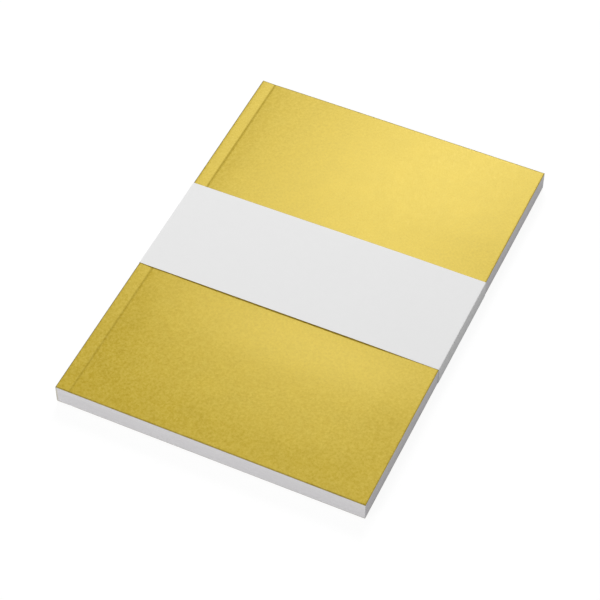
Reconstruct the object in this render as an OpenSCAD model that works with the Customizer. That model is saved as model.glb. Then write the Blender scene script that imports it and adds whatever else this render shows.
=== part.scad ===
// Perfect-bound A5 notebook in a wrap-round card cover, held shut by a paper belly band.
// X runs from the spine to the fore edge, Y from the tail to the head, and Z up through the front cover.
// The origin is at the middle of the underside, where the band rests on the table.

/* [Trimmed book] */
// Width from the outer face of the spine to the fore edge
book_w = 148; // [90:1:220]
// Height from tail to head
book_h = 210; // [120:1:310]

/* [Page block] */
// Number of leaves
leaf_count = 96; // [40:1:200]
// Thickness of one leaf
leaf_t = 0.095; // [0.07:0.005:0.15]

/* [Cover] */
// Thickness of the cover card
card_t = 0.35; // [0.25:0.05:0.6]
// Inside radius of the two folds at the spine
spine_fold_r = 0.2; // [0.1:0.05:0.8]
// Distance from the spine's outer face to the middle of each hinge crease
crease_x = 7; // [5:0.5:12]
// Width of a hinge crease
crease_w = 1; // [0.6:0.1:2]
// Depth of a hinge crease
crease_depth = 0.16; // [0.08:0.01:0.22]

/* [Binding glue] */
// Thickness of the glue between the leaves and the spine of the cover
spine_glue_t = 0.5; // [0.3:0.1:1.5]
// Thickness of the side glue at the spine, from where it thins out towards the crease
side_glue_t = 0.12; // [0.06:0.02:0.3]
// Distance from the side glue's edge to the near side of the crease
side_glue_margin = 1; // [0.5:0.1:2]

/* [Binding notches] */
// Distance from one notch in the spine of the page block to the next
notch_pitch = 6; // [4:0.5:12]
// Width of a notch along the spine
notch_w = 1; // [0.5:0.1:2]
// Depth of a notch into the leaves
notch_depth = 0.7; // [0.4:0.1:1.5]
// Least distance from the first and last notch to the tail and head
notch_margin = 8; // [6:1:20]

/* [Belly band] */
// Width of the band along the book
band_w = 55.2; // [25:0.1:90]
// Distance of the band's middle from the book's middle, towards the head
band_shift = 1.9; // [-15:0.1:15]
// Thickness of the band's paper
band_t = 0.15; // [0.1:0.05:0.4]
// Clearance between the book and the inside of the band
band_gap = 0.15; // [0.1:0.01:0.4]
// Inside radius of the band's four folds, as far as the corners of the book leave room for it
band_fold_r = 0.3; // [0.1:0.05:1.2]
// Length of the glued lap on the back
lap_l = 16; // [8:1:30]
// Distance of the lap's visible edge from the book's middle, towards the fore edge
seam_shift = 12; // [-15:1:30]
// Length over which the paper steps up into the lap
lap_step_l = 1.2; // [0.6:0.2:3]

/* [Hidden] */
$fn = 48;

// Cuts reach past the surfaces that they open by this much
over = 1;

// Half thicknesses, measured from the plane through the middle of the book
block_half = leaf_count * leaf_t / 2;
panel_half = block_half + card_t;
spine_half = panel_half + side_glue_t;

// Outside radius of the spine's folds, and the depth of their centres below the spine's full thickness
fold_r = spine_fold_r + card_t;
fold_z = spine_half - fold_r;

// The groove of a crease is an arc as wide and as deep as the crease
crease_r = (crease_w * crease_w / 4 + crease_depth * crease_depth) / (2 * crease_depth);

// Where the leaves begin behind the glue, and where the side glue ends
block_x = card_t + spine_glue_t;
side_glue_x = crease_x - crease_w / 2 - side_glue_margin;

// As many notches as fit between the margins, centred on the spine
notch_count = floor((book_h - 2 * notch_margin) / notch_pitch) + 1;
notch_first = (book_h - (notch_count - 1) * notch_pitch) / 2;

// A fold of the band clears the square corner of the book inside it, in whole hundredths of a millimetre
fold_r_limit = floor(100 * (2 + sqrt(2)) * band_gap) / 100;
band_in_r = min(band_fold_r, fold_r_limit);

// Inside of the band: the lap's inner layer lies between the back cover and the band's outer layer
band_left = -band_gap;
band_right = book_w + band_gap;
band_top = spine_half + band_gap;
band_floor = -(spine_half + band_gap + band_t);
band_under = band_floor - band_t;
band_tail = (book_h - band_w) / 2 + band_shift;
seam_x = book_w / 2 + seam_shift;

gold = [0.86, 0.72, 0.30];
paper_white = [0.93, 0.93, 0.92];
leaf_white = [0.88, 0.88, 0.87];
glue_cream = [0.93, 0.90, 0.80];

// Moves sections drawn from the spine and the mid-plane to the origin on the table
module in_place() {
    translate([-book_w / 2, -book_h / 2, -band_under]) children();
}

// Runs a section, drawn across the book and up, along the book from one height to the next
module along_book(from, length) {
    translate([0, from + length, 0]) rotate([90, 0, 0]) linear_extrude(height = length) children();
}

// Outline of the bound book, thicker at the spine and flat from the crease to the fore edge.
// inset draws the inside of the card instead, and reach carries it past the fore edge.
module book_section(inset = 0, reach = 0) {
    polygon([
        [fold_r, -(spine_half - inset)],
        [crease_x, -(panel_half - inset)],
        [book_w + reach, -(panel_half - inset)],
        [book_w + reach, panel_half - inset],
        [crease_x, panel_half - inset],
        [fold_r, spine_half - inset],
    ]);
    translate([inset, -fold_z]) square([fold_r - inset, 2 * fold_z]);
    for (side = [-1, 1]) translate([fold_r, side * fold_z]) circle(r = fold_r - inset);
}

// Grooves pressed along the front and back of the book beside the spine
module crease_section() {
    for (side = [-1, 1])
        translate([crease_x, side * (panel_half + crease_r - crease_depth)]) circle(r = crease_r);
}

// One sheet of card folded round the spine, with a hinge crease in the front and the back
module cover() {
    color(gold) in_place() along_book(0, book_h) difference() {
        book_section();
        book_section(inset = card_t, reach = over);
        crease_section();
    }
}

// Slots sawn across the spine of the leaves, which the glue fills
module notches() {
    for (i = [0 : notch_count - 1])
        translate([block_x - over, notch_first + i * notch_pitch - notch_w / 2, -block_half - over])
            cube([notch_depth + over, notch_w, 2 * (block_half + over)]);
}

// The leaves, gathered and trimmed flush with the cover on three sides
module bare_block() {
    difference() {
        along_book(0, book_h) translate([block_x, -block_half]) square([book_w - block_x, 2 * block_half]);
        notches();
    }
}

module page_block() {
    color(leaf_white) in_place() bare_block();
}

// Hot glue that fills the inside of the spine, the notches and a thin strip on the outer leaves
module spine_glue() {
    color(glue_cream) in_place() difference() {
        along_book(0, book_h) intersection() {
            book_section(inset = card_t);
            translate([0, -spine_half]) square([side_glue_x, 2 * spine_half]);
        }
        bare_block();
    }
}

// Rectangle with round corners, from its lowest to its highest corner
module round_box(low, high, r) {
    translate([low[0] + r, low[1]]) square([high[0] - low[0] - 2 * r, high[1] - low[1]]);
    translate([low[0], low[1] + r]) square([high[0] - low[0], high[1] - low[1] - 2 * r]);
    for (x = [low[0] + r, high[0] - r], z = [low[1] + r, high[1] - r]) translate([x, z]) circle(r = r);
}

// Section of the band: a flat tube, with the lap's inner layer and the step that leads up to it
module band_section() {
    difference() {
        round_box([band_left - band_t, band_under], [band_right + band_t, band_top + band_t], band_in_r + band_t);
        round_box([band_left, band_floor], [band_right, band_top], band_in_r);
        polygon([[seam_x, band_under - over], [seam_x, band_floor], [seam_x + lap_step_l, band_under],
            [seam_x + lap_step_l, band_under - over]]);
    }
    polygon([[seam_x - lap_l, band_floor], [seam_x + lap_step_l, band_floor], [seam_x, band_floor + band_t],
        [seam_x - lap_l, band_floor + band_t]]);
}

// Strip of paper folded round the closed book, with its ends glued over each other on the back
module belly_band() {
    color(paper_white) in_place() along_book(band_tail, band_w) band_section();
}

cover();
page_block();
spine_glue();
belly_band();
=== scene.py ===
"""Dresses the notebook: gold shimmer card, trimmed leaves, binding glue and a paper belly band."""

import math

import bpy
import numpy as np
from bpy.props import FloatProperty, FloatVectorProperty, IntProperty, PointerProperty
from bpy.types import NodeSocket, Operator, Panel, PropertyGroup
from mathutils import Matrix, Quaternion, Vector


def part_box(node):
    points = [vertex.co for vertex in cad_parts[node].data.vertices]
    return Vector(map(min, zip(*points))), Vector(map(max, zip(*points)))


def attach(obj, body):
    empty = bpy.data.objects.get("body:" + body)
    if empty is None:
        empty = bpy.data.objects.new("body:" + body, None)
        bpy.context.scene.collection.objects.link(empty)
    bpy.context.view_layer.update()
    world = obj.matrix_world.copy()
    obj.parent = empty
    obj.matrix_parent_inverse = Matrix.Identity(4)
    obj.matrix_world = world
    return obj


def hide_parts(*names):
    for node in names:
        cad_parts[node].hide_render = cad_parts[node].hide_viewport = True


bl_info = {
    "name": "Notebook with Belly Band",
    "version": (1, 0, 0),
    "blender": (4, 5, 0),
    "location": "3D Viewport > Sidebar > Notebook",
    "description": "Makes a softcover notebook in gold card with a paper belly band, and its studio",
    "category": "Object",
}

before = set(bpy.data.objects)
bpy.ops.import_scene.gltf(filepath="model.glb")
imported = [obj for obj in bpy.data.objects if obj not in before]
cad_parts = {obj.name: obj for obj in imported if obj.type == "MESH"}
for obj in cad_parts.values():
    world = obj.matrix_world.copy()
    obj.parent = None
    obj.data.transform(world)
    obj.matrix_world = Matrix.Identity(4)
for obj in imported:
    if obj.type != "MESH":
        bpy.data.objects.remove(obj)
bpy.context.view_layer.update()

COVER_LOW, COVER_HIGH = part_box("cover")
LEAF_LOW, LEAF_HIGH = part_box("page_block")
GLUE_LOW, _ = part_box("spine_glue")
BAND_LOW, BAND_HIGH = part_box("belly_band")

MM = 0.001
CARD_T = GLUE_LOW.x - COVER_LOW.x
MID_Z = (LEAF_LOW.z + LEAF_HIGH.z) / 2
FRONT_Z = LEAF_HIGH.z + CARD_T
BAND_MID_Y = (BAND_LOW.y + BAND_HIGH.y) / 2
BAND_HALF_L = (BAND_HIGH.y - BAND_LOW.y) / 2

# The map that the finishes are baked through, and the width of the strips that keep its parts apart
BAKE_MAP = "OFBake"
MAP_EDGE = 0.01

# Where the two faces of a sheet lie on the bake map, from bottom to top, and the height of an edge's strip
OUTER_V = (MAP_EDGE, 0.66)
INNER_V = (0.68, 0.94)
STRIP_V = 0.012

# Distances between points: in creases and at the seam, on short slopes, down the sides, on long slopes,
# on the band's flats, and on the card. Last, the number of steps round a fold of the band.
FINE_STEP = 0.1 * MM
RISE_STEP = 1 * MM
SIDE_STEP = 1.5 * MM
SLOPE_STEP = 2 * MM
FLAT_STEP = 3 * MM
CARD_STEP = 4 * MM
FOLD_COUNT = 12

# Distance from a cut edge to the first row of points inside it
GUARD = 0.3 * MM

# Lengths over which the band sinks to the front at the fore edge, and rises to the back at its folds
SAG_L = 45 * MM
RISE_L = 12 * MM

# How far inside its folds the band begins to stand up from the front, and the length over which it does
ARCH_START = 1 * MM
ARCH_L = 20 * MM

# Lengths of the faint waves in the paper, across and along the book
RIPPLE_X = 17 * MM
RIPPLE_Y = 31 * MM

# How far from the spine the band begins to press the book in, and the length over which the pressing grows
PRESS_START = 5 * MM
PRESS_L = 45 * MM

# Lengths over which the card's spring grows or fades, and the share of it that the head side has
SPRING_CREASE_L = 15 * MM
SPRING_FORE_L = 20 * MM
SPRING_BAND_L = 35 * MM
SPRING_END_L = 20 * MM
HEAD_SPRING = 0.2

# How far each side of a crease has close points, and how wide its groove is, as shares of its width
CREASE_REACH = 1.3
GROOVE_SHARE = 0.38

# How far round a fold at the spine its painted shade grows to the full, by distance and by turn
FOLD_SHADE_L = 0.2 * MM
FOLD_SHADE_TURN = 0.25

# Points along the tail or head and along the fore edge of a leaf, and how the leaves' edges wander
LEAF_ACROSS = 31
LEAF_UP = 43
LEAF_SEED = 96
DRIFT_KNOTS = 9
WAVE_L = (60 * MM, 140 * MM)

# Where the lamps stand and how large they are, in metres, and the turn of the long one
KEY_PLACE, KEY_SIDE = (-0.72, -1.92, 1.25), 1.4
FILL_PLACE, FILL_SIDE = (-0.54, 1.69, 1.765), 1.0
GLEAM_PLACE, GLEAM_TURN, GLEAM_L, GLEAM_W = (-0.194, 0.681, 0.706), 0.71, 0.41, 0.06

# Angles at which the rounding of a cut edge has its rings of points
ROUNDING = tuple(math.radians(a) for a in (30, 60, 90))

# Mesh attributes that the card's finish reads: how far a point is into a crease and a fold, and how much
# painted shade it takes at a trimmed edge
CREASED = "creased"
FOLDED = "folded"
TRIM_SHADE = "trimmed"

# How much darker the gold is painted: painted shade in the creases, partly pigment wear, and painted shade
# at the folds and along the trimmed edges; then the share of the edges' painted shade at the fore edges
SHADE_AND_WEAR = {CREASED: -0.18, FOLDED: -0.9, TRIM_SHADE: -0.42}
FORE_EDGE_SHADE = 0.35

# Sizes of the clouds and of the flakes in the gold
CLOUD_SIZE = 9 * MM
FLAKE_SIZE = 0.22 * MM


def length(name, description, default, low=0.0, high=1.0):
    """A property that is a length in metres."""
    return FloatProperty(name=name, description=description, default=default, min=low, max=high,
                         precision=6, unit="LENGTH")


def colour(name, description, default):
    """A property that is a linear colour."""
    return FloatVectorProperty(name=name, description=description, default=default, min=0.0, max=1.0,
                               size=3, subtype="COLOR")


def factor(name, description, default, high=1.0):
    """A property that is a plain number from zero up."""
    return FloatProperty(name=name, description=description, default=default, min=0.0, max=high)


def angle(name, description, default):
    """A property that is an angle, with its default in degrees."""
    return FloatProperty(name=name, description=description, default=math.radians(default), unit="ROTATION")


def power(name, description, default):
    """A property that is a lamp's power in watts."""
    return FloatProperty(name=name, description=description, default=default, min=0.0, unit="POWER")


class CoverSettings(PropertyGroup):
    fold_r: length("Fold Radius", "Outside radius of the two folds at the spine", 0.55 * MM)
    crease_x: length("Crease Distance", "From the spine to the middle of each hinge crease", 6.85 * MM)
    crease_w: length("Crease Width", "Width of each hinge crease", 1.4 * MM)
    crease_depth: length("Crease Depth", "Depth of each hinge crease", 0.13 * MM)
    shoulder_w: length("Shoulder Width", "How far the card sinks on each side of a crease", 4 * MM)
    shoulder_depth: length("Shoulder Depth", "How deep the card sinks on each side of a crease", 0.08 * MM)
    spring: length("Spring", "How far the card bulges off the leaves on each side of the band", 0.25 * MM)
    edge_r: length("Edge Rounding", "How far in from a cut edge its rounding begins", 0.4 * MM)
    gold: colour("Gold", "Colour of the shimmer card", (0.442, 0.309, 0.0165))
    gleam: colour("Gleam", "Tint of the gloss on the shimmer card", (1.0, 0.90, 0.33))
    glint: colour("Glint", "Tint of the single flakes of the shimmer", (1.0, 0.93, 0.38))
    core: colour("Core", "Colour of the card where it is cut", (0.44, 0.425, 0.39))
    metal: factor("Metal", "Share of metal pigment in the shimmer", 0.08)
    rough: factor("Roughness", "Roughness of the shimmer card", 0.35)
    grain: length("Grain", "Size of the shimmer's mottling", 1.1 * MM)


class LeafSettings(PropertyGroup):
    count: IntProperty(name="Leaves", description="Number of leaves in the block", default=96,
                       min=8, max=300)
    notch_pitch: length("Notch Pitch", "Distance from one binding notch to the next", 6 * MM)
    notch_w: length("Notch Width", "Width of a notch along the spine", 1 * MM)
    notch_depth: length("Notch Depth", "Depth of a notch into the leaves", 0.7 * MM)
    notch_margin: length("Notch Margin", "Least distance from a notch to the tail or head", 8 * MM)
    groove: length("Groove", "Depth of the line between two leaves at the trimmed edges", 0.012 * MM)
    ragged: length("Ragged Edge", "How far a single leaf may stand back from the knife cut", 0.025 * MM)
    paper: colour("Paper", "Colour of the leaves", (0.83, 0.815, 0.83))


class GlueSettings(PropertyGroup):
    cream: colour("Cream", "Colour of the hot glue", (0.72, 0.69, 0.60))


class BandSettings(PropertyGroup):
    paper_t: length("Paper", "Thickness of the band's paper", 0.15 * MM)
    hug_spine: length("Hug at Spine", "How much of its clearance at the spine the paper gives up", 0.14 * MM)
    hug_fore: length("Hug at Fore Edge", "The same at the fore edge", 0.07 * MM)
    hug_front: length("Hug at Front", "The same over the front cover", 0.04 * MM)
    sharp_r: length("Sharp Fold", "Outside radius of the two folds over the fore edge", 0.5 * MM)
    round_r: length("Round Fold", "Outside radius of the two folds over the spine", 0.75 * MM)
    lap: length("Lap", "Length of the glued lap on the back", 16 * MM)
    seam_x: FloatProperty(name="Seam", description="Where the lap's visible edge lies across the book",
                          default=12 * MM, precision=6, unit="LENGTH")
    step: length("Step", "Length over which the paper steps up into the lap", 1.2 * MM)
    sag: length("Sag", "How much the paper sinks to the front's fore edge, squeeze apart", 0.16 * MM)
    arch: length("Arch", "How far the paper stands up from the front cover between its folds", 0.02 * MM)
    rise: length("Rise", "How far the paper rises to the back cover beside the folds", 0.38 * MM)
    ripple: length("Ripple", "Depth of the faint waves in the paper", 0.012 * MM)
    skew: angle("Skew", "How far out of square the band is slipped on", 0.305)
    taper: angle("Taper", "How far each long edge of the band is cut out of parallel", 0.146)
    edge_soft: length("Edge Softness", "Rounding along the cut edges of the paper", 0.03 * MM)
    paper: colour("White", "Colour of the band's paper", (0.80, 0.80, 0.80))


class ShapeSettings(PropertyGroup):
    squeeze: length("Squeeze", "How far the band presses each cover in, away from the spine", 0.22 * MM)
    squeeze_l: length("Squeeze Reach", "How far beyond the band the pressed part fades out", 30 * MM)


class StudioSettings(PropertyGroup):
    azimuth: angle("Azimuth", "Camera's place round the book, from the tail towards the fore edge", 24.857)
    elevation: angle("Elevation", "Camera's height above the table", 50.086)
    roll: angle("Roll", "Turn of the camera about its line of sight", 0.129)
    distance: length("Distance", "From the camera to the point it looks at", 980.84 * MM, high=10.0)
    aim: FloatVectorProperty(name="Aim", description="Point on the front cover that the camera looks at",
                             default=(1.96 * MM, -15.06 * MM, FRONT_Z), size=3, subtype="XYZ", unit="LENGTH")
    lens: FloatProperty(name="Lens", description="Focal length in millimetres", default=130.598, min=1.0)
    sky: factor("Sky", "Level of the even light from all round", 0.38)
    table: factor("Table", "Share of the light that the table throws back", 0.55)
    key_power: power("Key Lamp", "Power of the large lamp on the tail side", 22.5)
    fill_power: power("Fill Lamp", "Power of the large lamp on the head side", 24.0)
    gleam_power: power("Gleam Lamp", "Power of the long lamp that the gold reflects", 2.1)


def smooth(t):
    """Eases from 0 to 1 as t goes from 0 to 1."""
    t = np.clip(t, 0, 1)
    return t * t * (3 - 2 * t)


def pressed_in(settings, x, y):
    """How far the band presses the front and the back in: nothing at the spine, most from the middle on."""
    beyond = np.abs(y - BAND_MID_Y) - BAND_HALF_L
    across = smooth((x - COVER_LOW.x - PRESS_START) / PRESS_L)
    return settings.squeeze * across * smooth(1 - beyond / settings.squeeze_l)


def straight(start, end, step):
    """Points on a straight run across the book, with the outward normal on the right of the run."""
    start, end = np.array(start), np.array(end)
    run = end - start
    count = max(1, round(float(np.hypot(*run)) / step))
    across = np.array([run[1], -run[0]]) / np.hypot(*run)
    share = np.linspace(0, 1, count + 1)[:, None]
    return np.hstack([start + share * run, np.tile(across, (count + 1, 1))])


def ramp(start, end, step):
    """Points on a soft step from one level to another, with the outward normal on the right of the run."""
    (x0, z0), (x1, z1) = start, end
    share = np.linspace(0, 1, max(4, round(abs(x1 - x0) / step)) + 1)
    way = 1.0 if x1 > x0 else -1.0
    slope = (z1 - z0) / (x1 - x0) * 6 * share * (1 - share)
    size = np.hypot(slope, 1)
    x, z = x0 + (x1 - x0) * share, z0 + (z1 - z0) * smooth(share)
    return np.stack([x, z, way * slope / size, -way / size], 1)


def bend(centre, radius, start, end, count=10):
    """Points round a fold, with the normal away from its centre. Angles are in degrees."""
    turn = np.radians(np.linspace(start, end, count + 1))
    across = np.stack([np.cos(turn), np.sin(turn)], 1)
    return np.hstack([np.array(centre) + radius * across, across])


def joined(*runs):
    """One line from runs that begin where the one before ended."""
    return np.vstack([runs[0]] + [run[1:] for run in runs[1:]])


def distance_along(line):
    """Distance of each point of the line from its start."""
    steps = np.hypot(*np.diff(line[:, :2], axis=0).T)
    return np.concatenate([[0.0], np.cumsum(steps)])


def fit(values, low, high):
    """Values spread over one part of the bake map."""
    values = np.asarray(values, float)
    return low + (high - low) * (values - values.min()) / np.ptp(values)


def new_piece(name, points, faces, corners, slots, finishes, sharp):
    """Makes an object from points and faces, with its bake map, its finishes and crisp edges."""
    mesh = bpy.data.meshes.new(name)
    mesh.from_pydata(np.asarray(points).tolist(), [], faces)
    bake_map = mesh.uv_layers.new(name=BAKE_MAP)
    bake_map.uv.foreach_set("vector", np.asarray(corners, np.float32).ravel())
    for finish in finishes:
        mesh.materials.append(finish)
    mesh.polygons.foreach_set("material_index", np.asarray(slots, np.int32))
    mesh.shade_smooth()
    mesh.set_sharp_from_angle(angle=math.radians(sharp))
    if mesh.validate():
        raise RuntimeError(f"the mesh of {name} had faces that don't fit together")
    piece = bpy.data.objects.new(name, mesh)
    bpy.context.scene.collection.objects.link(piece)
    return piece


def grid_faces(columns, rows, first, flip):
    """Quads of a grid whose points start at first, row by row, seen from outside unless flipped."""
    at = first + np.arange(rows)[:-1, None] * columns + np.arange(columns)[None, :-1]
    quads = np.stack([at, at + columns, at + columns + 1, at + 1], -1).reshape(-1, 4)
    return quads[:, ::-1] if flip else quads


def boundary(columns, rows):
    """The points round a grid as (row, column), along the tail, the last end, the head and the first end."""
    tail = [(0, c) for c in range(columns - 1)]
    last = [(r, columns - 1) for r in range(rows - 1)]
    head = [(rows - 1, c) for c in range(columns - 1, 0, -1)]
    first = [(r, 0) for r in range(rows - 1, 0, -1)]
    return tail, last, head, first


def with_guards(values, inset, guard):
    """Rows drawn in by an inset, with one more close to each end to keep the shading flat."""
    first, last = values[0] + inset, values[-1] - inset
    return np.concatenate([[first], np.linspace(first + guard, last - guard, len(values)), [last]])


def sheet_solid(name, line, tail, head, row_step, thickness, edge_r, pressed, lift, finishes):
    """A sheet of card or paper that follows a line across the book and runs from the tail to the head.

    The line lies on the outer face. pressed is how far each of its points is pushed in, and lift moves
    both faces outwards by a distance that depends on the place. The outer cut edges are rounded by edge_r.
    Returns the piece, the place of each point along the line, and how much painted shade each point takes at
    the cut edges: full at the tail and head, a share at the two ends of the line.
    """
    drop, inner_r = min(edge_r, thickness / 2), min(edge_r, thickness / 6)
    run = distance_along(line)
    first, last = edge_r, run[-1] - edge_r
    within = run[(run > first + 2 * GUARD) & (run < last - 2 * GUARD)]
    stops = np.concatenate([[first, first + GUARD], within, [last - GUARD, last]])
    line = np.stack([np.interp(stops, run, column) for column in line.T], 1)
    pressed = np.interp(stops, run, pressed)
    along = np.stack([-line[:, 3], line[:, 2]], 1)
    y = with_guards(np.linspace(tail, head, round((head - tail) / row_step) + 1), edge_r, GUARD)
    columns, rows = len(line), len(y)

    x, z, nx, nz = line.T
    normal = np.broadcast_to(np.stack([nx, np.zeros(columns), nz], 1), (rows, columns, 3))
    middle = np.empty((rows, columns, 3))
    middle[..., 0], middle[..., 1], middle[..., 2] = x, y[:, None], z
    middle = middle + normal * lift(middle[..., 0], middle[..., 1], nz)[..., None]
    outer = middle - normal * pressed[None, :, None]
    inner = middle - normal * thickness

    sides = boundary(columns, rows)
    loop = [place for side in sides for place in side]
    at_row, at_column = np.array(loop).T
    outset = np.zeros((rows, columns, 3))
    outset[0, :, 1] -= 1
    outset[-1, :, 1] += 1
    outset[:, 0, ::2] -= along[0]
    outset[:, -1, ::2] += along[-1]
    edge, depth = outset[at_row, at_column], normal[at_row, at_column]
    outer_rim, inner_rim = outer[at_row, at_column], inner[at_row, at_column]
    turned = [outer_rim + edge_r * math.sin(a) * edge - drop * (1 - math.cos(a)) * depth for a in ROUNDING]
    lower = inner_rim + edge_r * edge + inner_r * depth
    inner[at_row, at_column] = inner_rim + (edge_r - inner_r) * edge
    points = np.vstack([outer.reshape(-1, 3), inner.reshape(-1, 3), *turned, lower])

    cells = columns * rows
    faces = [grid_faces(columns, rows, 0, False), grid_faces(columns, rows, cells, True)]
    around = np.arange(len(loop))
    after = np.roll(around, -1)
    rim = at_row * columns + at_column
    rings = [rim, *(2 * cells + k * len(loop) + around for k in range(len(ROUNDING) + 1)), cells + rim]
    for a, b in zip(rings, rings[1:]):
        faces.append(np.stack([a, a[after], b[after], b], 1))
    flat = len(faces[0]) * 2
    faces = np.vstack(faces)

    # Both faces of the sheet lie on the bake map as they are cut, and the edges as four long strips
    u = fit(distance_along(line), MAP_EDGE, 1 - MAP_EDGE)
    outer_v, inner_v = fit(y, *OUTER_V), fit(y, *INNER_V)
    on_map = np.zeros((len(points), 2))
    on_map[:cells] = np.stack(np.meshgrid(u, outer_v), -1).reshape(-1, 2)
    on_map[cells:2 * cells] = np.stack(np.meshgrid(u, inner_v), -1).reshape(-1, 2)
    corners = on_map[faces]
    strips = ((MAP_EDGE, 1 - MAP_EDGE, 0.950), (MAP_EDGE, 0.49, 0.980),
              (MAP_EDGE, 1 - MAP_EDGE, 0.965), (0.51, 1 - MAP_EDGE, 0.980))
    ring_v = np.linspace(0.0, STRIP_V, len(rings))
    place = 0
    for side, (low, high, base) in zip(sides, strips):
        share = np.linspace(low, high, len(side) + 1)
        for ring in range(len(rings) - 1):
            first = flat + ring * len(loop) + place
            quads = corners[first:first + len(side)]
            quads[:, (0, 3), 0], quads[:, (1, 2), 0] = share[:-1, None], share[1:, None]
            quads[:, :2, 1], quads[:, 2:, 1] = base + ring_v[ring], base + ring_v[ring + 1]
        place += len(side)

    slots = np.zeros(len(faces), int)
    slots[flat + len(ROUNDING) * len(loop):] = 1
    piece = new_piece(name, points, faces.tolist(), corners, slots, finishes, sharp=50)
    at = stops[np.concatenate([np.arange(2 * cells) % columns, np.tile(at_column, len(rings) - 2)])]
    # Painted shade along the cut edges: full at the tail and head, a smaller share at the ends of the line
    edge_shade = np.maximum(np.abs(edge[:, 1]), FORE_EDGE_SHADE)
    trimmed = np.zeros(len(points))
    trimmed[rim] = edge_shade
    trimmed[2 * cells:] = np.tile(edge_shade, len(rings) - 2)
    return piece, at, trimmed


def mark(piece, name, values):
    """Gives each point of the piece a number that its finish reads."""
    layer = piece.data.attributes.new(name=name, type="FLOAT", domain="POINT")
    layer.data.foreach_set("value", np.asarray(values, np.float32))


def add(tree, kind, inputs=None, **settings):
    """Adds a node. Inputs are plain values, or the outputs of other nodes to link from."""
    node = tree.nodes.new(kind)
    for key, value in settings.items():
        setattr(node, key, value)
    for key, value in (inputs or {}).items():
        if isinstance(value, NodeSocket):
            tree.links.new(value, node.inputs[key])
        else:
            node.inputs[key].default_value = value
    return node


def calc(tree, operation, *values):
    """The result of a maths node."""
    return add(tree, "ShaderNodeMath", dict(enumerate(values)), operation=operation).outputs[0]


def swing(tree, value, amount):
    """A value from 0 to 1, turned into one that swings by amount about 0."""
    return calc(tree, "MULTIPLY", calc(tree, "SUBTRACT", value, 0.5), amount)


def total(tree, first, *others):
    """The sum of some values."""
    for other in others:
        first = calc(tree, "ADD", first, other)
    return first


def speckle(tree, place, size, detail=2.0, roughness=0.5, distortion=0.0):
    """Soft noise whose blotches are about one size across."""
    inputs = {"Vector": place, "Scale": 1 / size, "Detail": detail, "Roughness": roughness,
              "Distortion": distortion}
    return add(tree, "ShaderNodeTexNoise", inputs).outputs["Fac"]


def stretched(tree, place, x, y, z):
    """Places drawn out, so that noise becomes streaks."""
    return add(tree, "ShaderNodeVectorMath", {0: place, 1: (x, y, z)}, operation="MULTIPLY").outputs[0]


def shaded(tree, tint, light):
    """A colour made lighter or darker by a factor."""
    return add(tree, "ShaderNodeVectorMath", {0: tuple(tint), "Scale": light}, operation="SCALE").outputs[0]


def new_finish(name):
    """A material with its shader, its node tree and the place on the object."""
    finish = bpy.data.materials.new(name)
    finish.use_nodes = True
    tree = finish.node_tree
    shader = tree.nodes["Principled BSDF"]
    return finish, tree, shader, add(tree, "ShaderNodeTexCoord").outputs["Object"]


def bump(tree, shader, height, distance):
    """Raises the surface a little by a height from 0 to 1."""
    raised = add(tree, "ShaderNodeBump", {"Height": height, "Distance": distance, "Strength": 1.0})
    tree.links.new(raised.outputs["Normal"], shader.inputs["Normal"])


def gold_card(settings):
    """Card with a fine metallic shimmer, with painted shade in the creases (partly pigment wear), at the
    folds and along the trimmed edges.
    """
    cloud_light, grain_light, flake_light = 0.12, 0.31, 0.05
    wear_rough, grain_rough, flake_rough = 0.25, 0.22, 0.05
    finish, tree, shader, place = new_finish("gold_card")
    grain = speckle(tree, place, settings.grain, detail=3.0, roughness=0.6)
    clouds = speckle(tree, place, CLOUD_SIZE, detail=3.0)
    flakes = add(tree, "ShaderNodeTexVoronoi", {"Vector": place, "Scale": 1 / FLAKE_SIZE})
    flake = add(tree, "ShaderNodeSeparateColor", {"Color": flakes.outputs["Color"]}).outputs["Red"]
    # Painted shade darkens the gold in the creases (partly pigment wear), at the folds and along the trimmed
    # edges
    marks = {name: add(tree, "ShaderNodeAttribute", attribute_name=name).outputs["Fac"] for name in SHADE_AND_WEAR}
    shade_and_wear = total(tree, *(calc(tree, "MULTIPLY", marks[name], amount) for name, amount in SHADE_AND_WEAR.items()))
    light = total(tree, shade_and_wear, 1.0, swing(tree, clouds, cloud_light))
    sparkle = total(tree, swing(tree, grain, grain_light), swing(tree, flake, flake_light))
    colours = {0: shaded(tree, settings.gold, light), 1: shaded(tree, settings.glint, sparkle)}
    both = add(tree, "ShaderNodeVectorMath", colours, operation="ADD")
    tree.links.new(both.outputs[0], shader.inputs["Base Color"])
    dull = calc(tree, "MULTIPLY", total(tree, marks[CREASED], marks[FOLDED]), wear_rough)
    rough = total(tree, dull, swing(tree, grain, grain_rough), swing(tree, flake, flake_rough),
                  settings.rough)
    tree.links.new(rough, shader.inputs["Roughness"])
    shader.inputs["Metallic"].default_value = settings.metal
    shader.inputs["Specular IOR Level"].default_value = 1.0
    shader.inputs["Specular Tint"].default_value = (*settings.gleam, 1.0)
    bump(tree, shader, total(tree, grain, calc(tree, "MULTIPLY", flake, 0.3)), distance=0.003 * MM)
    return finish


def cut_card(settings):
    """The dull fibres of the card where it is trimmed."""
    finish, tree, shader, place = new_finish("cut_card")
    fibres = speckle(tree, stretched(tree, place, 1, 1, 4), 0.3 * MM, detail=4.0, roughness=0.7)
    light = total(tree, 1.0, swing(tree, fibres, amount=0.4))
    tree.links.new(shaded(tree, settings.core, light), shader.inputs["Base Color"])
    shader.inputs["Roughness"].default_value = 0.8
    shader.inputs["Specular IOR Level"].default_value = 0.3
    bump(tree, shader, fibres, distance=0.02 * MM)
    return finish


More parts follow.
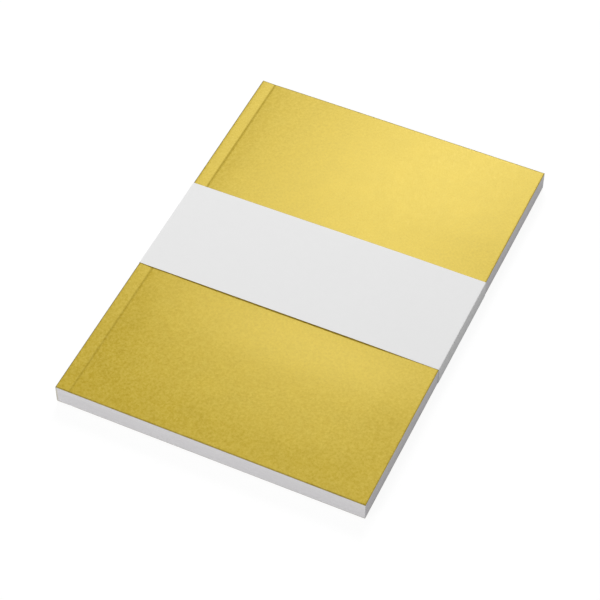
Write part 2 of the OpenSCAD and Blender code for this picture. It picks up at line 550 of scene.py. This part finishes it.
def leaf_paper(settings, leaf_t):
    """The edges of many leaves: a faint line of painted shade where two leaves meet, and a slight difference
    from leaf to leaf.
    """
    finish, tree, shader, place = new_finish("leaf_paper")
    height = add(tree, "ShaderNodeSeparateXYZ", {"Vector": place}).outputs["Z"]
    leaf = calc(tree, "DIVIDE", calc(tree, "SUBTRACT", height, LEAF_LOW.z), leaf_t)
    within = calc(tree, "ABSOLUTE", calc(tree, "SUBTRACT", calc(tree, "FRACT", leaf), 0.5))
    # Near 1 where two leaves meet, for the faint line of painted shade between them
    line = add(tree, "ShaderNodeMapRange", {"Value": within, "From Min": 0.34, "From Max": 0.5,
                                            "To Min": 0.0, "To Max": 1.0}).outputs["Result"]
    single = add(tree, "ShaderNodeTexWhiteNoise", {"W": calc(tree, "FLOOR", leaf)},
                 noise_dimensions="1D").outputs["Value"]
    streaks = speckle(tree, stretched(tree, place, 0.05, 0.05, 1), 0.12 * MM, detail=3.0, roughness=0.6)
    bundles = speckle(tree, stretched(tree, place, 0.02, 0.02, 1), 1.4 * MM, detail=2.0)
    light = total(tree, 1.0, calc(tree, "MULTIPLY", line, -0.06), swing(tree, single, amount=0.05),
                  swing(tree, streaks, amount=0.10), swing(tree, bundles, amount=0.06))
    tree.links.new(shaded(tree, settings.paper, light), shader.inputs["Base Color"])
    shader.inputs["Roughness"].default_value = 0.85
    shader.inputs["Specular IOR Level"].default_value = 0.2
    bump(tree, shader, streaks, distance=0.01 * MM)
    return finish


def hot_glue(settings):
    """Cream glue, slightly shiny, with the ripples it sets in."""
    finish, tree, shader, place = new_finish("hot_glue")
    ripples = speckle(tree, place, 1.2 * MM, detail=3.0, distortion=0.4)
    light = total(tree, 1.0, swing(tree, ripples, amount=0.16))
    tree.links.new(shaded(tree, settings.cream, light), shader.inputs["Base Color"])
    tree.links.new(total(tree, 0.36, swing(tree, ripples, amount=0.2)), shader.inputs["Roughness"])
    bump(tree, shader, ripples, distance=0.03 * MM)
    return finish


def band_paper(name, settings, light_level, fibre):
    """Smooth white paper with a faint cloudy formation and fibres."""
    finish, tree, shader, place = new_finish(name)
    clouds = speckle(tree, place, 5 * MM, detail=3.0)
    fibres = speckle(tree, place, fibre, detail=3.0, roughness=0.6)
    light = total(tree, light_level, swing(tree, clouds, amount=0.02), swing(tree, fibres, amount=0.03))
    tree.links.new(shaded(tree, settings.paper, light), shader.inputs["Base Color"])
    tree.links.new(total(tree, 0.62, swing(tree, fibres, amount=0.15)), shader.inputs["Roughness"])
    shader.inputs["Specular IOR Level"].default_value = 0.3
    bump(tree, shader, fibres, distance=0.006 * MM)
    return finish


def cover_line(settings):
    """The outer face of the card across the book, from the front's fore edge round the spine to the back's.

    Returns the line, and for each point how deep it is pressed into a crease and how far into a fold.
    """
    crease, spine = COVER_LOW.x + settings.crease_x, COVER_LOW.x + settings.fold_r
    top, reach = COVER_HIGH.z, CREASE_REACH * settings.crease_w
    slope = (top - FRONT_Z) / (crease - spine)
    half = joined(
        straight((COVER_HIGH.x, FRONT_Z), (crease + reach, FRONT_Z), CARD_STEP),
        straight((crease + reach, FRONT_Z), (crease, FRONT_Z), FINE_STEP),
        straight((crease, FRONT_Z), (crease - reach, FRONT_Z + slope * reach), FINE_STEP),
        straight((crease - reach, FRONT_Z + slope * reach), (spine, top), RISE_STEP),
        bend((spine, top - settings.fold_r), settings.fold_r, 90, 180),
        straight((COVER_LOW.x, top - settings.fold_r), (COVER_LOW.x, MID_Z), RISE_STEP),
    )
    back = half[::-1] * (1, -1, 1, -1) + (0, 2 * MID_Z, 0, 0)
    line = joined(half, back)
    from_crease = line[:, 0] - crease
    groove = np.exp(-((from_crease / (GROOVE_SHARE * settings.crease_w)) ** 2))
    shoulder = np.exp(-((from_crease / settings.shoulder_w) ** 2))
    pressed = settings.crease_depth * groove + settings.shoulder_depth * (shoulder - groove)
    # Painted shade round the folds at the spine: it grows into the fold and fades where the fold turns down
    # to the spine's face
    fold = smooth((spine - line[:, 0]) / FOLD_SHADE_L) * smooth(np.abs(line[:, 3]) / FOLD_SHADE_TURN)
    return line, pressed, groove, fold


def make_cover(settings, shape):
    """The card round the book: pressed creases, rounded cut edges and a slight spring beside the band."""
    line, pressed, groove, fold = cover_line(settings)
    crease = COVER_LOW.x + settings.crease_x

    def lift(x, y, nz):
        across = smooth((x - crease) / SPRING_CREASE_L) * smooth((COVER_HIGH.x - x) / SPRING_FORE_L)
        from_band = (np.abs(y - BAND_MID_Y) - BAND_HALF_L) / SPRING_BAND_L
        up = smooth(from_band) * smooth((COVER_HIGH.y - np.abs(y)) / SPRING_END_L)
        bulge = settings.spring * across * up * np.where(y < 0, 1.0, HEAD_SPRING)
        return (bulge - pressed_in(shape, x, y)) * (nz != 0)

    cover, at, trimmed = sheet_solid("cover_card", line, COVER_LOW.y, COVER_HIGH.y, CARD_STEP, CARD_T,
                                     settings.edge_r, pressed, lift,
                                     [gold_card(settings), cut_card(settings)])
    run = distance_along(line)
    mark(cover, CREASED, np.interp(at, run, groove))
    mark(cover, FOLDED, np.interp(at, run, fold))
    mark(cover, TRIM_SHADE, trimmed)
    return cover


def leaf_outline(settings):
    """Points round a leaf as (x, y, way back in x, way back in y), and the index where each side begins."""
    low, high = LEAF_LOW, LEAF_HIGH
    across = np.linspace(low.x, high.x, LEAF_ACROSS)
    up = np.linspace(low.y, high.y, LEAF_UP)
    tail = [(x, low.y, 0, 1) for x in across[:-1]]
    fore = [(high.x, y, -1, 0) for y in up[:-1]]
    head = [(x, high.y, 0, -1) for x in across[:0:-1]]
    fore[0] = (high.x, low.y, -1, 1)
    head[0] = (high.x, high.y, -1, -1)
    spine = [(low.x, high.y, 0, -1)]
    run = high.y - low.y - 2 * settings.notch_margin
    count = int(run / settings.notch_pitch + 1e-6) + 1
    middle = (low.y + high.y) / 2
    floor = low.x + settings.notch_depth
    for i in range(count - 1, -1, -1):
        y = middle + (i - (count - 1) / 2) * settings.notch_pitch
        above, below = y + settings.notch_w / 2, y - settings.notch_w / 2
        spine += [(low.x, above, 0, 0), (floor, above, 0, 0), (floor, below, 0, 0), (low.x, below, 0, 0)]
    sides = [tail, fore, head, spine]
    starts = np.cumsum([0] + [len(side) for side in sides])
    return np.array([point for side in sides for point in side]), starts


def make_leaves(settings, shape):
    """The block of leaves, each with its own edge: trimmed almost level, with a fine groove between two."""
    outline, starts = leaf_outline(settings)
    around, count = len(outline), settings.count
    leaf_t = (LEAF_HIGH.z - LEAF_LOW.z) / count
    rng = np.random.default_rng(LEAF_SEED)
    single = rng.uniform(0, settings.ragged, count)
    knots = rng.uniform(0, settings.ragged, DRIFT_KNOTS)
    drift = np.interp(np.arange(count), np.linspace(0, count, DRIFT_KNOTS), knots)
    phase, wave = rng.uniform(0, 2 * math.pi, count), rng.uniform(*WAVE_L, count)
    run = np.concatenate([[0], np.cumsum(np.hypot(*np.diff(outline[:, :2], axis=0).T))])

    rings = []
    for i in range(count):
        back = single[i] * (0.6 + 0.4 * np.sin(2 * math.pi * run / wave[i] + phase[i])) + drift[i]
        for share, groove in ((0.0, settings.groove), (0.3, 0.0), (0.7, 0.0)):
            rings.append((LEAF_LOW.z + (i + share) * leaf_t, back + groove))
    rings.append((LEAF_HIGH.z, rings[-1][1] + settings.groove))
    points = np.empty((len(rings), around, 3))
    for ring, (z, back) in zip(points, rings):
        ring[:, :2] = outline[:, :2] + outline[:, 2:] * back[:, None]
        share = (z - MID_Z) / (LEAF_HIGH.z - MID_Z)
        ring[:, 2] = z - share * pressed_in(shape, ring[:, 0], ring[:, 1])

    here = np.arange(around)
    after = np.roll(here, -1)
    level = np.arange(len(rings) - 1)[:, None] * around
    quads = np.stack([level + here, level + after, level + around + after, level + around + here], -1)
    quads = quads.reshape(-1, 4)
    top = (len(rings) - 1) * around
    faces = quads.tolist() + [here[::-1].tolist(), (top + here).tolist()]

    # Each side of the block is a strip on the bake map, and the two outer leaves lie above them
    bases = ((0.01, 0.16), (0.18, 0.33), (0.35, 0.50), (0.52, 0.62))
    heights = np.array([z for z, _ in rings])
    corners = np.empty((len(rings) - 1, around, 4, 2))
    for (low, high), start, end in zip(bases, starts, starts[1:]):
        stop = np.append(run, run[-1] + run[1])[start:end + 1]
        u, v = fit(stop, MAP_EDGE, 1 - MAP_EDGE), fit(heights, low, high)
        side = corners[:, start:end]
        side[..., 0, 0] = side[..., 3, 0] = u[:-1]
        side[..., 1, 0] = side[..., 2, 0] = u[1:]
        side[..., 0, 1] = side[..., 1, 1] = v[:-1, None]
        side[..., 2, 1] = side[..., 3, 1] = v[1:, None]
    caps = [np.stack([fit(outline[:, 1], low, low + 0.47), fit(outline[:, 0], 0.64, 0.99)], 1)
            for low in (MAP_EDGE, 0.52)]
    corners = np.vstack([corners.reshape(-1, 2), caps[0][::-1], caps[1]])
    slots = np.zeros(len(faces), int)
    return new_piece("leaves", points.reshape(-1, 3), faces, corners, slots,
                     [leaf_paper(settings, leaf_t)], sharp=60)


def band_line(settings, squeeze):
    """The outer face of the band's paper, from the lap's inner end round the book to the seam."""
    sharp, r, low, top = settings.sharp_r, settings.round_r, BAND_LOW.z, BAND_HIGH.z - settings.hug_front
    left, right = BAND_LOW.x + settings.hug_spine, BAND_HIGH.x - settings.hug_fore
    high, under = top - settings.sag - squeeze, low + settings.rise
    seam, glue_film, lap_gap = settings.seam_x, 0.005 * MM, 0.02 * MM
    lap_z = low + settings.paper_t + glue_film
    line = joined(
        straight((seam - settings.lap, lap_z), (seam, lap_z), SLOPE_STEP),
        ramp((seam, lap_z), (seam + settings.step, low), FINE_STEP),
        straight((seam + settings.step, low), (right - sharp - RISE_L, low), FLAT_STEP),
        ramp((right - sharp - RISE_L, low), (right - sharp, under + squeeze), RISE_STEP),
        bend((right - sharp, under + squeeze + sharp), sharp, -90, 0, FOLD_COUNT),
        straight((right, under + squeeze + sharp), (right, high - sharp), SIDE_STEP),
        bend((right - sharp, high - sharp), sharp, 0, 90, FOLD_COUNT),
        ramp((right - sharp, high), (right - sharp - SAG_L, top), SLOPE_STEP),
        straight((right - sharp - SAG_L, top), (left + r, top), FLAT_STEP),
        bend((left + r, top - r), r, 90, 180, FOLD_COUNT),
        straight((left, top - r), (left, under + r), SIDE_STEP),
        bend((left + r, under + r), r, 180, 270, FOLD_COUNT),
        ramp((left + r, under), (left + r + RISE_L, low), RISE_STEP),
        straight((left + r + RISE_L, low), (seam - lap_gap, low), FLAT_STEP),
    )
    return line


def make_band(settings, shape):
    """The paper band: folded close round the book, lapped on the back and slipped on a little askew."""
    line = band_line(settings, shape.squeeze)

    def lift(x, y, nz):
        from_fold = (BAND_HIGH.x - BAND_LOW.x) / 2 - ARCH_START - np.abs(x)
        waves = settings.ripple * np.sin(x / RIPPLE_X + y / RIPPLE_Y)
        return (settings.arch + waves) * smooth(from_fold / ARCH_L) * (nz > 0.9)

    finishes = [band_paper("band_paper", settings, 1.0, 0.35 * MM),
                band_paper("band_paper_cut", settings, 1.02, 0.12 * MM)]
    band, _, _ = sheet_solid("paper_band", line, BAND_LOW.y, BAND_HIGH.y, FLAT_STEP, settings.paper_t,
                             settings.edge_soft, np.zeros(len(line)), lift, finishes)
    for point in band.data.vertices:
        x, y, _ = point.co
        point.co.y += x * math.tan(settings.skew + settings.taper * (y - BAND_MID_Y) / BAND_HALF_L)
    return band


def seen(tree):
    """1 for rays that show the background: from the camera, and through gloss and glass."""
    path = add(tree, "ShaderNodeLightPath").outputs
    either = calc(tree, "MAXIMUM", path["Is Camera Ray"], path["Is Glossy Ray"])
    return calc(tree, "MAXIMUM", either, path["Is Transmission Ray"])


def make_sky(settings):
    """Even white light, and a white background where it is seen."""
    world = bpy.data.worlds.new("studio_sky")
    world.use_nodes = True
    tree = world.node_tree
    tree.nodes.clear()
    level = add(tree, "ShaderNodeMapRange", {"Value": seen(tree), "To Min": settings.sky, "To Max": 1.0})
    sky = add(tree, "ShaderNodeBackground", {"Color": (1, 1, 1, 1), "Strength": level.outputs["Result"]})
    out = add(tree, "ShaderNodeOutputWorld")
    tree.links.new(sky.outputs["Background"], out.inputs["Surface"])
    bpy.context.scene.world = world


def make_table(settings):
    """A wide pale table that shows white and still takes the book's shadow."""
    half, below, lit_level, glow_level = 8.0, 0.02 * MM, 0.11, 0.91
    mesh = bpy.data.meshes.new("table")
    corners = ((-half, -half), (half, -half), (half, half), (-half, half))
    mesh.from_pydata([(x, y, -below) for x, y in corners], [], [(0, 1, 2, 3)])
    table = bpy.data.objects.new("table", mesh)
    bpy.context.scene.collection.objects.link(table)
    finish = bpy.data.materials.new("table_white")
    finish.use_nodes = True
    tree = finish.node_tree
    tree.nodes.clear()
    plain = add(tree, "ShaderNodeBsdfDiffuse", {"Color": (*[settings.table] * 3, 1)})
    lit = add(tree, "ShaderNodeBsdfDiffuse", {"Color": (*[lit_level] * 3, 1)})
    glow = add(tree, "ShaderNodeEmission", {"Color": (1, 1, 1, 1), "Strength": glow_level})
    white = add(tree, "ShaderNodeAddShader", {0: lit.outputs[0], 1: glow.outputs[0]})
    mix = add(tree, "ShaderNodeMixShader", {0: seen(tree), 1: plain.outputs[0], 2: white.outputs[0]})
    out = add(tree, "ShaderNodeOutputMaterial")
    tree.links.new(mix.outputs[0], out.inputs["Surface"])
    mesh.materials.append(finish)


def make_lamp(name, place, turn, width, height, watts, glossy=True):
    """A soft lamp that points at the middle of the front cover and doesn't show itself."""
    data = bpy.data.lights.new(name, "AREA")
    data.shape = "RECTANGLE"
    data.size, data.size_y = width, height
    data.energy = watts
    lamp = bpy.data.objects.new(name, data)
    lamp.location = place
    towards = Vector((0, 0, FRONT_Z)) - lamp.location
    lamp.rotation_mode = "QUATERNION"
    lamp.rotation_quaternion = towards.to_track_quat("-Z", "Y") @ Quaternion((0, 0, 1), turn)
    lamp.visible_camera = False
    lamp.visible_glossy = glossy
    bpy.context.scene.collection.objects.link(lamp)


def make_camera(settings):
    """The camera at the viewing angle of the photograph."""
    a, e = settings.azimuth, settings.elevation
    back = Vector((math.sin(a) * math.cos(e), -math.cos(a) * math.cos(e), math.sin(e)))
    data = bpy.data.cameras.new("camera")
    data.lens, data.sensor_width = settings.lens, 36.0
    data.clip_start, data.clip_end = 0.01, 50.0
    camera = bpy.data.objects.new("camera", data)
    camera.location = Vector(settings.aim) + back * settings.distance
    camera.rotation_mode = "QUATERNION"
    camera.rotation_quaternion = (-back).to_track_quat("-Z", "Y") @ Quaternion((0, 0, 1), settings.roll)
    bpy.context.scene.collection.objects.link(camera)
    bpy.context.scene.camera = camera


class NOTEBOOK_OT_make_cover(Operator):
    """Make the gold card cover"""

    bl_idname = "notebook.make_cover"
    bl_label = "Make Cover"

    def execute(self, context):
        cover = make_cover(context.scene.notebook_cover, context.scene.notebook_shape)
        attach(cover, "book")
        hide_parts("cover")
        return {"FINISHED"}


class NOTEBOOK_OT_make_leaves(Operator):
    """Make the block of trimmed leaves"""

    bl_idname = "notebook.make_leaves"
    bl_label = "Make Leaves"

    def execute(self, context):
        leaves = make_leaves(context.scene.notebook_leaves, context.scene.notebook_shape)
        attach(leaves, "book")
        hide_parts("page_block")
        return {"FINISHED"}


class NOTEBOOK_OT_finish_glue(Operator):
    """Give the binding glue its finish"""

    bl_idname = "notebook.finish_glue"
    bl_label = "Finish Glue"

    def execute(self, context):
        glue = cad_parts["spine_glue"]
        finish = hot_glue(context.scene.notebook_glue)
        for slot in glue.material_slots:
            slot.material = finish
        return {"FINISHED"}


class NOTEBOOK_OT_make_band(Operator):
    """Make the paper belly band"""

    bl_idname = "notebook.make_band"
    bl_label = "Make Band"

    def execute(self, context):
        band = make_band(context.scene.notebook_band, context.scene.notebook_shape)
        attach(band, "band")
        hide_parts("belly_band")
        return {"FINISHED"}


class NOTEBOOK_OT_set_stage(Operator):
    """Set up the table, the lamps and the camera"""

    bl_idname = "notebook.set_stage"
    bl_label = "Set Stage"

    def execute(self, context):
        settings = context.scene.notebook_studio
        context.scene.view_settings.view_transform = "Standard"
        make_sky(settings)
        make_table(settings)
        make_lamp("key_lamp", KEY_PLACE, 0.0, KEY_SIDE, KEY_SIDE, settings.key_power)
        make_lamp("fill_lamp", FILL_PLACE, 0.0, FILL_SIDE, FILL_SIDE, settings.fill_power, glossy=False)
        make_lamp("gleam_lamp", GLEAM_PLACE, GLEAM_TURN, GLEAM_L, GLEAM_W, settings.gleam_power)
        make_camera(settings)
        return {"FINISHED"}


def list_settings(layout, context, group):
    """Lists the values of one group of settings."""
    settings = getattr(context.scene, group)
    for key in settings.__annotations__:
        layout.prop(settings, key)


class NOTEBOOK_PT_panel(Panel):
    """Lists the pieces of the notebook with their settings"""

    bl_idname = "NOTEBOOK_PT_panel"
    bl_label = "Notebook"
    bl_space_type = "VIEW_3D"
    bl_region_type = "UI"
    bl_category = "Notebook"

    def draw(self, context):
        list_settings(self.layout.box(), context, "notebook_shape")
        for operator, group in STEPS:
            box = self.layout.box()
            box.operator(operator.bl_idname)
            list_settings(box, context, group)


STEPS = (
    (NOTEBOOK_OT_make_cover, "notebook_cover"),
    (NOTEBOOK_OT_make_leaves, "notebook_leaves"),
    (NOTEBOOK_OT_finish_glue, "notebook_glue"),
    (NOTEBOOK_OT_make_band, "notebook_band"),
    (NOTEBOOK_OT_set_stage, "notebook_studio"),
)
GROUPS = {
    "notebook_cover": CoverSettings,
    "notebook_leaves": LeafSettings,
    "notebook_glue": GlueSettings,
    "notebook_band": BandSettings,
    "notebook_shape": ShapeSettings,
    "notebook_studio": StudioSettings,
}
CLASSES = (*GROUPS.values(), *(operator for operator, _ in STEPS), NOTEBOOK_PT_panel)


def register():
    for cls in CLASSES:
        bpy.utils.register_class(cls)
    for name, group in GROUPS.items():
        setattr(bpy.types.Scene, name, PointerProperty(type=group))


def unregister():
    for name in GROUPS:
        delattr(bpy.types.Scene, name)
    for cls in reversed(CLASSES):
        bpy.utils.unregister_class(cls)


def main():
    register()
    bpy.ops.notebook.make_cover()
    bpy.ops.notebook.make_leaves()
    bpy.ops.notebook.finish_glue()
    bpy.ops.notebook.make_band()
    bpy.ops.notebook.set_stage()


if __name__ == "__main__":
    main()
